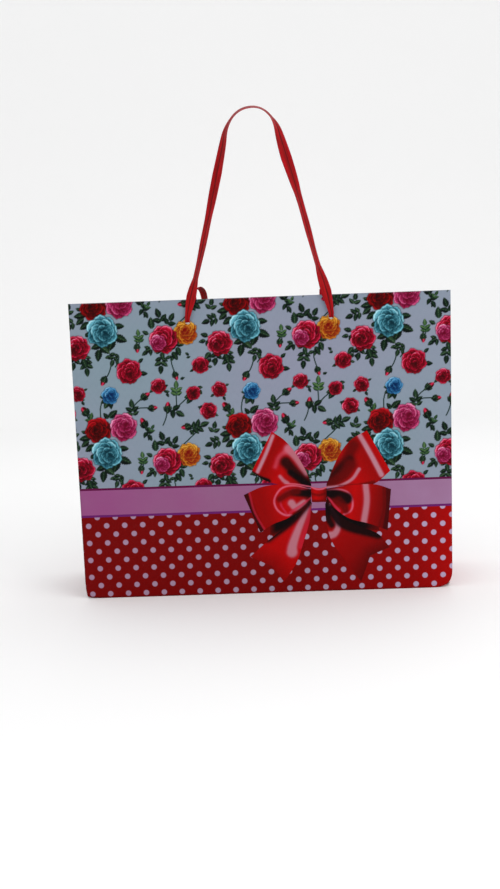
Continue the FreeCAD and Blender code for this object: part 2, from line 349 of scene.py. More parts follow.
# each spray: across, down, heading, leaf length, leaves, whether fresh green
sprays = [(73, -39, 95, 7.5, 5, 1), (44, -64, 250, 8.0, 5, 0), (97, -72, 265, 9.5, 5, 0),
          (63, -118, 95, 9.5, 5, 0), (112, -124, 330, 10.5, 3, 0), (113, -98, 90, 8.5, 5, 1),
          (139, -140.7, 20, 10.0, 7, 0), (97, -155.7, 110, 10.5, 3, 0), (108, -159.7, 60, 9.5, 3, 0),
          (115, -188.7, 290, 10.0, 5, 0), (83, -191.7, 215, 8.0, 3, 0), (152, -160.7, 200, 9.0, 5, 0),
          (154, -144.7, 80, 8.5, 3, 0), (14, -72, 275, 9.5, 6, 0), (80, -148.7, 300, 8.0, 4, 0),
          (84, -142.7, 60, 5.5, 3, 1), (153, -70, 20, 6.0, 2, 0), (138, -100, 300, 6.5, 2, 0),
          (165, -109, 300, 5.0, 2, 0), (102, -103, 300, 5.0, 2, 0), (142, -118, 230, 6.0, 2, 0),
          (98, -193.7, 280, 8.5, 4, 0), (128, -62, 140, 5.0, 2, 0), (147, -182.7, 190, 7.5, 2, 0),
          (158, -201.7, 260, 9.0, 4, 0), (118, -88, 20, 5.0, 1, 0), (108, -198.7, 200, 6.5, 2, 0)]


def wrapped(distance, period):
    return (distance + period / 2) % period - period / 2


def toned(tone, palette):
    # a palette's dark, middle and light read at tone 0 to 1
    table = np.array(palette, float)
    return np.stack([np.interp(tone, (0, 0.5, 1), table[:, channel]) for channel in range(3)], 1)


def local(across, down, field, reach):
    # points near one element, counted in every repeat of the tile
    dx = wrapped(field["x"] - (printed["tileLeft"] + across), printed["tileAcross"])
    dz = wrapped(field["z"] - (printed["tileTop"] + down), printed["tileUp"])
    near = np.flatnonzero(dx * dx + dz * dz < reach * reach)
    return near, dx[near], dz[near]


def laid(field, near, colour, cover):
    field["rgb"][near] += (colour - field["rgb"][near]) * cover[:, None]


# shares of a leaf's length, and how a spray's pairs spread in degrees
leafShape = {"half": 0.30, "edgeSoft": 0.3, "ribHalf": 0.03, "teeth": 38, "veins": 30,
             "spread": 48, "fan": 9, "gap": 0.42, "first": 1.06, "smaller": 0.11}


def paintLeaf(field, across, down, heading, length, palette):
    # a pointed leaf: half its width is the sine of the way along, fuller near the stalk
    near, dx, dz = local(across, down, field, length * 1.1)
    if not len(near):
        return
    angle = math.radians(heading)
    along = (dx * math.cos(angle) + dz * math.sin(angle)) / length
    side = (-dx * math.sin(angle) + dz * math.cos(angle)) / length
    inside = np.clip(along, 0, 1)
    half = leafShape["half"] * np.sin(np.pi * inside ** 0.75) ** 0.8
    half = half * (1 + 0.08 * np.sin(along * leafShape["teeth"]))
    soft = leafShape["edgeSoft"] / length
    cover = smoothStep(-soft, soft, half - np.abs(side)) * (along > 0) * (along < 1)
    rib = np.exp(-(side / leafShape["ribHalf"]) ** 2) * 0.35
    veins = 0.13 * np.sin((along - np.abs(side) * 1.3) * leafShape["veins"])
    edge = smoothStep(0.62, 0.98, np.abs(side) / np.maximum(half, 1e-3))
    lit = 0.16 * np.sign(side) * math.cos(angle) + 0.1 * math.sin(across * 9.1 + down * 3.3)
    tone = np.clip(0.40 + rib + veins + lit, 0, 1) * (1 - 0.9 * edge)
    laid(field, near, toned(tone, palette), cover)


def paintStem(field, points):
    # distance to a quadratic curve taken as ten short straight pieces
    start = np.array(points[0], float)
    reach = np.linalg.norm(np.array(points[2]) - start) + 6
    near, dx, dz = local(*points[0], field, reach)
    if not len(near):
        return
    share = np.linspace(0, 1, 11)[:, None]
    bend = (1 - share) ** 2 * points[0] + 2 * share * (1 - share) * np.array(points[1]) \
        + share ** 2 * np.array(points[2])
    bend = bend - start
    least = np.full(len(near), 1e9)
    for first, last in zip(bend[:-1], bend[1:]):
        run = last - first
        place = np.clip(((dx - first[0]) * run[0] + (dz - first[1]) * run[1]) / (run @ run), 0, 1)
        gap = np.hypot(dx - first[0] - place * run[0], dz - first[1] - place * run[1])
        least = np.minimum(least, gap)
    laid(field, near, stemColour, 1 - smoothStep(printed["stemHalf"], printed["stemHalf"] + 0.45, least))


def paintPetal(field, centre, facing, shape, palette, brightness, seed):
    # one petal: a rounded plate, dark where it leaves the heart and pale along its curled lip
    reach, breadth = shape
    near, dx, dz = local(*centre, field, max(shape) * 1.35)
    if not len(near):
        return
    out = (dx * math.cos(facing) + dz * math.sin(facing)) / reach
    side = (-dx * math.sin(facing) + dz * math.cos(facing)) / breadth
    wave = 1 + 0.06 * np.sin(side * 5 + seed) + 0.04 * np.sin(side * 11 + seed * 2)
    r = np.hypot(out * wave, side * (1 + 0.16 * out))
    soft = 0.55 / reach
    shade = np.exp(-(np.maximum(r - 0.9, 0) / 0.16) ** 2) * 0.55
    field["rgb"][near] *= (1 - shade * (r < 1.35))[:, None]
    lift = np.clip((out + 1) / 2, 0, 1)
    streaks = 0.09 * np.sin(side * 9 + seed * 3) * np.sin(lift * 3) + 0.05 * np.sin(side * 21 + seed)
    lip = np.exp(-((r - 0.86) / 0.07) ** 2) * (out > -0.25)
    tone = 0.04 + 0.56 * lift ** 1.6 * brightness + streaks * lift + 0.42 * lip * brightness
    tone = tone + 0.12 * brightness * np.sin(side * 1.6 + seed)
    laid(field, near, toned(np.clip(tone, 0, 1), palette), 1 - smoothStep(1 - soft, 1 + soft, r))


def paintRose(field, across, down, radius, turn, petals, palette, heart):
    # petals ring by ring from outside in, each overlapping the last; the heart sits off the middle
    rings = len(petals)
    for ring, count in enumerate(petals):
        size = 1 - ring / rings
        shift = 1 - size
        for petal in range(count):
            seed = petal * 2.399 + ring * 1.7 + across
            facing = turn + ring * 0.9 + 2 * math.pi * petal / count + 0.22 * math.sin(seed * 3)
            away = radius * size * (0.56 + 0.05 * math.sin(seed * 5))
            centre = (across + heart[0] * radius * shift + away * math.cos(facing),
                      down + heart[1] * radius * shift + away * math.sin(facing))
            breadth = radius * size * (0.30 + 1.55 / count)
            brightness = 0.72 + 0.28 * math.cos(facing - 2.0) + 0.22 * math.sin(seed * 7)
            paintPetal(field, centre, facing, (radius * size * 0.47, breadth), palette,
                       brightness * (1 - 0.25 * ring / rings), seed)
    near, dx, dz = local(across + heart[0] * radius * 0.9, down + heart[1] * radius * 0.9, field, radius)
    r = np.hypot(dx, dz) / radius
    curl = 0.5 + 0.5 * np.sin(np.arctan2(dz, dx) * 2 + r * 26 + turn)
    cover = np.exp(-(r / 0.17) ** 2) * (0.45 + 0.5 * curl)
    laid(field, near, toned(np.full(len(near), 0.03), palette), cover)


def paintBud(field, across, down, radius, heading):
    # a closed bud: a pointed red oval standing in a dark cup with three sharp sepals
    angle = math.radians(heading)
    ahead = np.array([math.cos(angle), math.sin(angle)])
    near, dx, dz = local(across, down, field, radius * 1.6)
    along = (dx * ahead[0] + dz * ahead[1]) / radius
    side = (dz * ahead[0] - dx * ahead[1]) / radius
    r = np.hypot(along * 0.8, side / (0.78 - 0.12 * along))
    tone = np.clip(0.42 + 0.35 * np.sin(side * 5 + 1) - 0.25 * (along < -0.1) - 0.15 * r, 0, 1)
    laid(field, near, toned(tone, crimsons), 1 - smoothStep(1 - 0.4 / radius, 1 + 0.4 / radius, r))
    base = np.array([across, down]) - ahead * radius * 2.0
    for spread, length, start in ((0, 1.5, 0.0), (-34, 1.9, 0.5), (38, 1.8, 0.5), (-8, 1.8, 0.6),
                                  (12, 1.7, 0.6)):
        paintLeaf(field, *(base + ahead * radius * start), heading + spread, radius * length, darkLeaf)


def paintFlowers(x, z):
    # the flower field's display colours at unrolled positions x, z in millimetres
    field = {"x": x - printed["lean"] * (z - printed["leanFrom"]), "z": z}
    drift = np.sin(x * 0.021 + 1.3) + np.sin(z * 0.033 - x * 0.012) + np.sin(x * 0.009 + z * 0.017 + 2)
    fleck = np.sin(x * 1.7 + np.sin(z * 1.3) * 2) * np.sin(z * 1.9 + np.sin(x * 0.8) * 2)
    field["rgb"] = ground + np.outer(drift, (2.2, -0.6, 0.8)) + np.outer(fleck, (2.0, 1.5, 1.5))
    for points in stems:
        paintStem(field, points)
    for across, down, heading, length, count, fresh in sprays:
        for leaf in range(count):
            # the end leaf first, then pairs back along the stalk
            pair = (leaf + 1) // 2
            side = 0 if leaf == 0 else (1 if leaf % 2 else -1)
            back = math.radians(heading)
            shift = length * leafShape["gap"] * pair
            size = length * (leafShape["first"] - leafShape["smaller"] * pair)
            turn = side * (leafShape["spread"] + leafShape["fan"] * pair)
            paintLeaf(field, across - math.cos(back) * shift, down - math.sin(back) * shift,
                      heading + turn, size, freshLeaf if fresh else darkLeaf)
    for across, down, heading, length, fresh in leaves:
        paintLeaf(field, across, down, heading, length, freshLeaf if fresh else darkLeaf)
    for across, down, radius, turn, petals, palette, heart in roses:
        paintRose(field, across, down, radius, turn, petals, palette, heart)
    for across, down, radius, heading in buds:
        paintBud(field, across, down, radius, heading)
    return field["rgb"]


def printColour(tree, across, up):
    # band and dots as nodes; across and up are sockets in millimetres
    cellX = calc(tree, "MULTIPLY", calc(tree, "SUBTRACT", across, printed["dotStartX"]),
                 1 / printed["dotAcross"])
    cellZ = calc(tree, "MULTIPLY", calc(tree, "SUBTRACT", up, printed["dotStartZ"]),
                 1 / printed["dotUp"])

    def nearestDot(shift):
        # distance to the nearest point of one of the two square lattices
        dx = calc(tree, "MULTIPLY", calc(tree, "WRAP", calc(tree, "ADD", cellX, shift), 0.5, -0.5),
                  printed["dotAcross"])
        dz = calc(tree, "MULTIPLY", calc(tree, "WRAP", calc(tree, "ADD", cellZ, shift), 0.5, -0.5),
                  printed["dotUp"])
        return calc(tree, "SQRT", calc(tree, "ADD", calc(tree, "MULTIPLY", dx, dx),
                                       calc(tree, "MULTIPLY", dz, dz)))

    gap = calc(tree, "MINIMUM", nearestDot(0.0), nearestDot(0.5))
    dot = put(tree, "ShaderNodeMapRange", gap, printed["dotRadius"] - printed["dotEdge"],
              printed["dotRadius"] + printed["dotEdge"], 1.0, 0.0).outputs[0]
    # painted light: the dots' red and pale both run lighter towards the right, as if lit from that side
    side = put(tree, "ShaderNodeMapRange", across, -printed["side"], printed["side"], 0.0, 1.0).outputs[0]
    red = ramp(tree, side, [(0.0, (108, 0, 2)), (0.6, (108, 0, 2)), (0.9, (130, 0, 3)), (1.0, (154, 0, 3))])
    pale = ramp(tree, side, [(0.0, (152, 122, 146)), (0.6, (150, 130, 150)), (1.0, (168, 148, 176))])
    dots = mixed(tree, dot, red, pale)
    # the satin band: printed pink at its left and lilac at its right, with painted light making it lighter
    # towards the right, and a dark stitched line at each edge
    coordinate = put(tree, "ShaderNodeCombineXYZ", across, up, 0.0).outputs[0]
    cloud = put(tree, "ShaderNodeTexNoise", coordinate, None, 0.02, 2.0).outputs[0]
    # print hue and painted light together: the band's tint runs more lilac and lighter towards the right
    tintAndLightAcross = put(tree, "ShaderNodeMapRange", across, -printed["side"], printed["side"],
                   0.0, 0.8).outputs[0]
    tint = calc(tree, "ADD", tintAndLightAcross, calc(tree, "MULTIPLY", calc(tree, "SUBTRACT", cloud, 0.5), 0.5))
    band = ramp(tree, tint, [(0.0, (138, 74, 120)), (0.5, (137, 94, 126)), (1.0, (152, 118, 152))])
    height = put(tree, "ShaderNodeMapRange", up, printed["bandLow"], printed["bandHigh"], 0.0, 1.0)
    edgeShare = printed["bandEdge"] / (printed["bandHigh"] - printed["bandLow"])
    line = put(tree, "ShaderNodeValToRGB", height.outputs[0])
    line.color_ramp.interpolation = "CONSTANT"
    stops = line.color_ramp.elements
    stops[0].position, stops[0].color = 0.0, (1, 1, 1, 1)
    stops[1].position, stops[1].color = edgeShare, (0, 0, 0, 1)
    last = stops.new(1 - edgeShare)
    last.color = (1, 1, 1, 1)
    edgeColour = ramp(tree, height.outputs[0], [(0.0, (96, 34, 96)), (1.0, (86, 18, 58))])
    band = mixed(tree, line.outputs[0], band, edgeColour)
    aboveLow = calc(tree, "GREATER_THAN", up, printed["bandLow"])
    aboveHigh = calc(tree, "GREATER_THAN", up, printed["bandHigh"])
    lower = mixed(tree, aboveLow, dots, band)
    return mixed(tree, aboveHigh, lower, shown(ground))


def printFinish(name, axis, sign, shift, axisUp="Z"):
    # laminated print: across is sign times one object axis plus a shift, all in millimetres
    material, tree, shader = newMaterial(name, Roughness=0.34, Specular_IOR_Level=0.06)
    place = put(tree, "ShaderNodeTexCoord").outputs["Object"]
    parts = put(tree, "ShaderNodeSeparateXYZ", place)
    across = calc(tree, "MULTIPLY_ADD", parts.outputs[axis], sign * 1000.0, shift)
    up = calc(tree, "MULTIPLY", parts.outputs[axisUp], 1000.0)
    tree.links.new(printColour(tree, across, up), shader.inputs["Base Color"])
    addPaperRelief(tree, shader, place)
    return material


def addPaperRelief(tree, shader, place):
    # slow waves of the sheet under a fine orange-peel film
    slow = put(tree, "ShaderNodeTexNoise", place, None, 9.0, 2.0).outputs[0]
    fine = put(tree, "ShaderNodeTexNoise", place, None, 700.0, 2.0).outputs[0]
    height = calc(tree, "MULTIPLY_ADD", fine, 0.03, slow)
    addBump(tree, shader, height, 0.0025, 0.6)


def flowerFinish(name):
    material, tree, shader = newMaterial(name, Roughness=0.34, Specular_IOR_Level=0.06)
    colour = put(tree, "ShaderNodeAttribute", attribute_name="printColour").outputs[0]
    tree.links.new(colour, shader.inputs["Base Color"])
    addPaperRelief(tree, shader, put(tree, "ShaderNodeTexCoord").outputs["Object"])
    return material


def paperFinish(name, colour, roughness, fibre):
    # uncoated stock: cloudy colour, short fibres and a faint tooth
    material, tree, shader = newMaterial(name, Roughness=roughness)
    place = put(tree, "ShaderNodeTexCoord").outputs["Object"]
    cloud = put(tree, "ShaderNodeTexNoise", place, None, 28.0, 4.0).outputs[0]
    fibres = put(tree, "ShaderNodeTexNoise", place, None, 1600.0, 3.0).outputs[0]
    tone = calc(tree, "MULTIPLY_ADD", fibres, fibre, calc(tree, "MULTIPLY", cloud, 0.35))
    dark = tuple(channel * 0.88 for channel in colour)
    tree.links.new(ramp(tree, tone, [(0.1, dark), (0.9, colour)]), shader.inputs["Base Color"])
    addBump(tree, shader, fibres, 0.0002, 0.5)
    return material


whitePaper = paperFinish("whitePaper", (232, 231, 227), 0.75, 0.55)
greyBoard = paperFinish("greyBoard", (168, 163, 154), 0.85, 0.75)
flowerPrint = flowerFinish("flowerPrint")
frontPrint = printFinish("frontPrint", "X", 1, 0.0)
rearPrint = printFinish("rearPrint", "X", -1, 0.0)
rightPrint = printFinish("rightSidePrint", "Y", 1, 1000 * (halfWidth + halfDepth))
leftPrint = printFinish("leftSidePrint", "Y", -1, -1000 * (halfWidth + halfDepth))
basePrint = printFinish("basePrint", "X", 1, 0.0, "Y")

# ---- paper walls
paper = {"bulge": 1.5 * mm, "ripple": 0.35 * mm, "gussetFold": 2.6 * mm, "film": 0.06 * mm,
         "cornerReach": 21 * mm, "cornerPush": 7.0 * mm, "leftShare": 0.4, "flowerStep": 0.68 * mm,
         "rearStep": 1.0 * mm, "sideStep": 0.9 * mm, "cell": 3 * mm}


def blunted(points):
    # the four bottom corners are pushed in and up, most at the corner and dying out around it
    result = points.copy()
    for sideX in (-1, 1):
        for sideY in (-1, 1):
            corner = np.array([sideX * halfWidth, sideY * halfDepth, 0.0])
            push = paper["cornerPush"] * (1.0 if sideX > 0 else paper["leftShare"])
            near = np.clip(1 - np.linalg.norm(points - corner, axis=1) / paper["cornerReach"], 0, 1) ** 2
            result += np.outer(near * push, (-0.55 * sideX, -0.25 * sideY, 0.72))
    return result


def wallRelief(x, z):
    # outward swelling of a large wall: none at its edges or in the stiff rim, ripples between
    u = x / halfWidth
    v = z / rimHeight
    stiff = smoothStep(0, 1, (hemBottom - z) / (0.2 * rimHeight))
    bell = (1 - u ** 2) * np.sin(np.pi * np.clip(v, 0, 1)) ** 0.8
    ripple = np.sin(7.5 * u + 2.1 * v) * np.sin(5.2 * v + 1.4 * u)
    return stiff * bell * (paper["bulge"] + paper["ripple"] * ripple)


def wallPlace(side):
    # a point x, z of the front (-1) or rear (1) outer face, moved outward by lift
    def place(x, z, lift=0.0):
        y = side * (halfDepth + wallRelief(x, z) + lift)
        return blunted(np.stack([x, y, z], 1))
    return place


def gussetPlace(side):
    # a point y, z of the left (-1) or right (1) outer face: the middle crease leans inwards upwards
    def place(y, z, lift=0.0):
        lean = paper["gussetFold"] * (z / rimHeight) ** 3 * (1 - np.abs(y) / halfDepth)
        x = side * (halfWidth - lean + lift)
        return blunted(np.stack([x, y, z], 1))
    return place


def linesWithHoles(low, high, cell, centres, radius):
    # grid lines about a cell apart, with five close lines across each punched hole
    lines = list(np.linspace(low, high, max(2, int(round((high - low) / cell)) + 1)))
    for centre in centres:
        lines = [line for line in lines if abs(line - centre) > radius + 0.4 * cell]
        lines += list(centre + radius * np.linspace(-1, 1, 5))
    return np.array(sorted(lines))


def punched(a, b, quads, holes, radius):
    # drops the cells inside each hole and rounds its rim
    a, b = a.copy(), b.copy()
    keep = np.ones(len(quads), bool)
    for centreA, centreB in holes:
        da, db = a - centreA, b - centreB
        box = np.maximum(np.abs(da), np.abs(db))
        inside = box < radius * 1.001
        keep &= ~inside[quads].all(1)
        rim = np.flatnonzero(inside)
        length = np.maximum(np.hypot(da[rim], db[rim]), 1e-9)
        scale = box[rim] / length
        a[rim] = centreA + da[rim] * scale
        b[rim] = centreB + db[rim] * scale
    return a, b, quads[keep]


def paperSheet(name, linesA, linesB, place, outwardFlip, holes, materials, body):
    # a closed sheet of paper over a grid of lines, with print outside and white stock inside
    a, b = (grid.ravel() for grid in np.meshgrid(linesA, linesB))
    quads = gridQuads(len(linesB), len(linesA))
    if outwardFlip:
        quads = quads[:, ::-1]
    a, b, quads = punched(a, b, quads, holes, holeRadius)
    used, quads = np.unique(quads, return_inverse=True)
    quads = quads.reshape(-1, 4)
    a, b = a[used], b[used]
    points, faces, kinds = closeSheet(place(a, b), quads, place(a, b, -paperThick))
    return makePiece(name, points, faces, materials, body, kinds)


handleHoles = [(-holeAcross, holeHeight), (holeAcross, holeHeight)]
wallX = linesWithHoles(-halfWidth, halfWidth, paper["cell"], (-holeAcross, holeAcross), holeRadius)
wallZ = linesWithHoles(0, rimHeight, paper["cell"], (holeHeight,), holeRadius)
frontWall = paperSheet("frontPanel", wallX, wallZ, wallPlace(-1), False, handleHoles,
                       [frontPrint, whitePaper], "front_wall")
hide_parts("front_panel")
rearWall = paperSheet("rearPanel", wallX, wallZ, wallPlace(1), True, handleHoles,
                      [rearPrint, whitePaper], "rear_wall")
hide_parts("rear_panel")
print("front and rear walls")


def flowerSkin(name, low, high, step, place, unroll, flip, holes, body):
    # the printed flower field: a fine grid just outside the wall, coloured point by point
    countA = int(round((high - low) / step)) + 1
    countB = int(round((rimHeight - printed["bandHigh"] * mm) / step)) + 1
    a, b = (grid.ravel() for grid in np.meshgrid(np.linspace(low, high, countA),
                                                 np.linspace(printed["bandHigh"] * mm, rimHeight, countB)))
    quads = gridQuads(countB, countA)
    if flip:
        quads = quads[:, ::-1]
    colours = paintFlowers(unroll(a) * 1000, b * 1000)
    keep = np.ones(len(quads), bool)
    for centreA, centreB in holes:
        distance = np.hypot(a - centreA, b - centreB)
        inside = distance < holeRadius
        keep &= ~inside[quads].all(1)
        scale = np.where(inside, holeRadius / np.maximum(distance, 1e-9), 1.0)
        a, b = centreA + (a - centreA) * scale, centreB + (b - centreB) * scale
    item = makePiece(name, place(a, b, paper["film"]), quads[keep], [flowerPrint], body)
    addColours(item, colours)
    addMap(item, np.stack([(a - low) / (high - low),
                           (b - b.min()) / (rimHeight - b.min())], 1), "OFBake")
    return item


flowerSkin("frontFlowersLeft", -halfWidth, 0, paper["flowerStep"], wallPlace(-1), lambda a: a, False,
           handleHoles, "front_wall")
flowerSkin("frontFlowersRight", 0, halfWidth, paper["flowerStep"], wallPlace(-1), lambda a: a, False,
           handleHoles, "front_wall")
flowerSkin("rearFlowers", -halfWidth, halfWidth, paper["rearStep"], wallPlace(1), lambda a: -a, True,
           handleHoles, "rear_wall")
print("flower fields")

# ---- the printed bow: overlapping ribbon shapes, each ruled between two smooth edges
bow = {"centre": (60.0, 115.0), "step": 0.62, "layer": 0.012 * mm, "mapCells": 3, "mapEdge": 0.03}
deep, dull, full, bright = (34, 0, 3), (88, 0, 3), (134, 0, 4), (168, 0, 8)
gloss, blush, rose, night = (172, 122, 136), (196, 92, 112), (178, 44, 66), (16, 4, 8)

# each shape: two edges from the knot outwards, tones along it, then strokes laid over it as
# points, first width, last width, softness, colour and strength
bowShapes = [
    {"name": "shadow left", "edges": ([(-9, -10), (-18, -18), (-36, -27), (-56, -35)],
                                      [(-10, -18), (-22, -35), (-38, -44), (-56, -48)]),
     "tones": [(0, night), (0.88, night), (1, dull)],
     "strokes": [([(-12, -19), (-25, -37), (-41, -48), (-58, -53)], 1, 4, 4, dull, 0.9)]},
    {"name": "shadow right", "edges": ([(8, -9), (20, -20), (40, -32), (66, -40)],
                                       [(9, -18), (20, -38), (42, -45), (68, -46)]),
     "tones": [(0, night), (0.8, night), (1, dull)],
     "strokes": [([(10, -22), (24, -45), (44, -51), (68, -50)], 1, 4, 4, dull, 0.9)]},
    {"name": "left tail", "edges": ([(-9, -10), (-18, -22), (-36, -37), (-58, -53), (-80, -72)],
                                    [(-8, -12), (-11, -33), (-19, -58), (-27, -80), (-42, -103)]),
     "notch": (-55, -84),
     "tones": [(0, deep), (0.2, full), (0.5, bright), (0.8, (158, 0, 5)), (1, (122, 0, 4))],
     "strokes": [([(-11, -14), (-18, -28), (-26, -46), (-31, -60), (-32, -68)], 0.3, 4.0, 3.0, gloss, 0.85),
                 ([(-10, -16), (-14, -36), (-22, -62)], 0.4, 1.5, 1.5, rose, 0.6),
                 ([(-14, -12), (-34, -31), (-60, -48)], 2.5, 5, 3, night, 0.9)]},
    {"name": "right tail", "edges": ([(9, -8), (22, -27), (44, -40), (66, -50), (79, -66)],
                                     [(7, -14), (8, -36), (14, -58), (28, -80), (46, -105)]),
     "notch": (57, -75), "tones": [(0, deep), (0.2, full), (0.5, (140, 0, 5)), (0.8, (122, 0, 4)),
                                   (1, (84, 0, 3))],
     "strokes": [([(12, -16), (19, -29), (21, -40), (17, -48), (11, -50)], 0.3, 2.6, 2.4, gloss, 0.85),
                 ([(8, -16), (10, -30), (14, -38)], 2.0, 1.0, 2.5, night, 0.85),
                 ([(14, -20), (30, -37), (66, -47)], 3, 6, 3, night, 0.9)]},
    {"name": "upper left", "edges": ([(-8, 9), (-14.5, 27), (-25, 46), (-37, 61), (-50.5, 71)],
                                     [(-9, 5), (-28, 9), (-45, 11), (-60, 16), (-74.5, 26.5)]),
     "tones": [(0, deep), (0.25, full), (0.55, bright), (0.85, full), (1, bright)],
     "strokes": [([(-49.5, 66), (-58, 46), (-68, 26)], 0.7, 0.9, 1.6, gloss, 0.95),
                 ([(-58, 14), (-67, 19), (-75.5, 26)], 3.0, 0.6, 1.6, night, 0.95),
                 ([(-32, 51), (-23, 39), (-14, 22)], 2.6, 0.4, 3.6, gloss, 0.8),
                 ([(-33, 50), (-43, 42), (-48, 31)], 0.8, 0.2, 3.0, blush, 0.55),
                 ([(-36, 36), (-26, 24), (-10, 8)], 3.0, 1.5, 3.5, deep, 0.9),
                 ([(-31, 24), (-22, 17), (-10, 8)], 1.5, 1.5, 2.0, night, 0.9),
                 ([(-43, 20), (-39, 15), (-35, 12)], 0.5, 1.0, 1.8, gloss, 0.8),
                 ([(-9, 7), (-30, 11), (-44, 9)], 0.4, 0.6, 0.6, blush, 0.8)]},
    {"name": "upper right", "edges": ([(9, 9), (17, 28), (26, 45), (38, 59), (55.5, 68.5)],
                                      [(9, 5), (26, 6.5), (44, 6.5), (63, 8), (81, 22)]),
     "tones": [(0, deep), (0.25, full), (0.5, bright), (0.85, full), (1, bright)],
     "strokes": [([(46.5, 65), (58, 44), (71, 18)], 1.2, 1.4, 2.0, gloss, 0.95),
                 ([(40, 52), (30, 34), (12, 12)], 2.5, 1.0, 5.0, dull, 0.9),
                 ([(36, 36), (25, 26), (11, 10)], 1.5, 1.5, 3.5, deep, 0.9),
                 ([(36, 30), (29, 20), (14, 10)], 3.5, 1.5, 5.0, dull, 0.9),
                 ([(9, 5.5), (24, 7), (38, 14), (46, 25)], 0.2, 0.9, 1.5, gloss, 0.85),
                 ([(24, 5), (44, 6), (62, 9)], 1, 1, 1.6, dull, 0.8)]},
    {"name": "lower left", "edges": ([(-8, 4), (-24, 9), (-42, 11), (-64, 8.5), (-84.5, 0)],
                                     [(-9, -10), (-18, -19), (-36, -28.5), (-53, -35), (-67, -44)]),
     "tones": [(0, deep), (0.2, full), (0.5, bright), (0.8, full), (0.9, full), (1, dull)],
     "strokes": [([(-85, 2), (-78, -22), (-66, -46)], 4.4, 3.6, 1.4, (52, 0, 6), 0.95),
                 ([(-78, 2), (-73, -20), (-61, -43)], 0.6, 0.6, 0.8, rose, 0.6),
                 ([(-9, 5), (-28, 9), (-42, 6), (-50, -6), (-48, -17), (-40, -24), (-31, -25)],
                  0.2, 0.4, 1.1, blush, 0.9),
                 ([(-9, 2), (-28, 5), (-41, -2), (-43, -12), (-37, -23)], 0.4, 0.6, 0.8, rose, 0.8),
                 ([(-31, -11), (-26, -16), (-17, -11)], 2.2, 1.6, 2.6, gloss, 0.85),
                 ([(-28, 1), (-18, 0), (-8, 0)], 1.5, 2.6, 2.2, night, 0.95),
                 ([(-44, -6), (-34, 0), (-24, 2)], 1.0, 1.5, 3.0, dull, 0.9),
                 ([(-33, -22), (-20, -14), (-9, -6)], 1.0, 0.6, 0.8, rose, 0.7),
                 ([(-30, -28), (-18, -19), (-8, -10)], 2.0, 1.5, 1.6, deep, 0.8)]},
    {"name": "lower right", "edges": ([(8, 4), (24, 6), (42, 7.5), (64, 7), (81.5, 1)],
                                      [(9, -9), (19, -20), (34, -31), (55, -37.5), (77, -46)]),
     "tones": [(0, deep), (0.25, full), (0.5, bright), (0.75, full), (1, dull)],
     "strokes": [([(82, 2), (81, -22), (76, -47)], 5.0, 4.0, 1.6, (64, 0, 8), 0.95),
                 ([(73, 2), (73, -20), (67, -43)], 0.5, 0.5, 0.9, dull, 0.7),
                 ([(53, 8), (54, -12), (50, -37)], 1.6, 1.8, 2.4, gloss, 0.85),
                 ([(9, 2), (24, 2.5), (34, -2), (38, -12), (36, -22), (28, -26)],
                  0.2, 0.4, 1.1, blush, 0.9),
                 ([(10, -5), (18, -16), (23, -22)], 0.4, 1.0, 0.8, rose, 0.9),
                 ([(9, -1), (20, -3), (31, -8)], 2.0, 4.5, 2.4, night, 0.95),
                 ([(22, -10), (28, -16), (30, -22)], 3.0, 1.5, 2.5, dull, 0.8)]},
    {"name": "knot", "edges": ([(-8.5, 7), (-3, 5.5), (3, 5), (9, 6.5)],
                               [(-8, -10.5), (-3, -11), (3, -11), (8.5, -11)]),
     "tones": [(0, full), (0.3, bright), (0.75, full), (1, dull)],
     "strokes": [([(-8, 6.5), (-2, 4), (4, 4), (9, 6)], 0.5, 0.5, 0.6, blush, 0.9),
                 ([(-8, -1), (0, -3), (9, -1)], 0.4, 0.4, 1.2, dull, 0.6),
                 ([(-8, -10), (0, -10.8), (8, -10.8)], 0.8, 0.8, 1.4, dull, 0.8)]},
]


def smoothLine(points, count):
    # a curve through every point, each stretch a cubic steered by its neighbours
    p = np.array(points, float)
    p = np.vstack([2 * p[0] - p[1], p, 2 * p[-1] - p[-2]])
    t = np.linspace(0, len(points) - 1, count)
    i = np.minimum(t.astype(int), len(points) - 2)
    f = (t - i)[:, None]
    a, b, c, d = p[i], p[i + 1], p[i + 2], p[i + 3]
    return 0.5 * (2 * b + (c - a) * f + (2 * a - 5 * b + 4 * c - d) * f ** 2
                  + (3 * b - a - 3 * c + d) * f ** 3)


def layStroke(x, z, colours, points, firstWidth, lastWidth, soft, colour, strength):
    # full colour within the width of a curve, then a bell-shaped fade
    line = smoothLine(points, 24)
    least, share = np.full(len(x), 1e9), np.zeros(len(x))
    for step, (first, last) in enumerate(zip(line[:-1], line[1:])):
        run = last - first
        place = np.clip(((x - first[0]) * run[0] + (z - first[1]) * run[1]) / max(run @ run, 1e-9), 0, 1)
        gap = np.hypot(x - first[0] - place * run[0], z - first[1] - place * run[1])
        closer = gap < least
        least = np.where(closer, gap, least)
        share = np.where(closer, (step + place) / (len(line) - 1), share)
    half = firstWidth + (lastWidth - firstWidth) * share
    cover = strength * np.exp(-(np.maximum(least - half, 0) / soft) ** 2)
    colours += (np.array(colour, float) - colours) * cover[:, None]


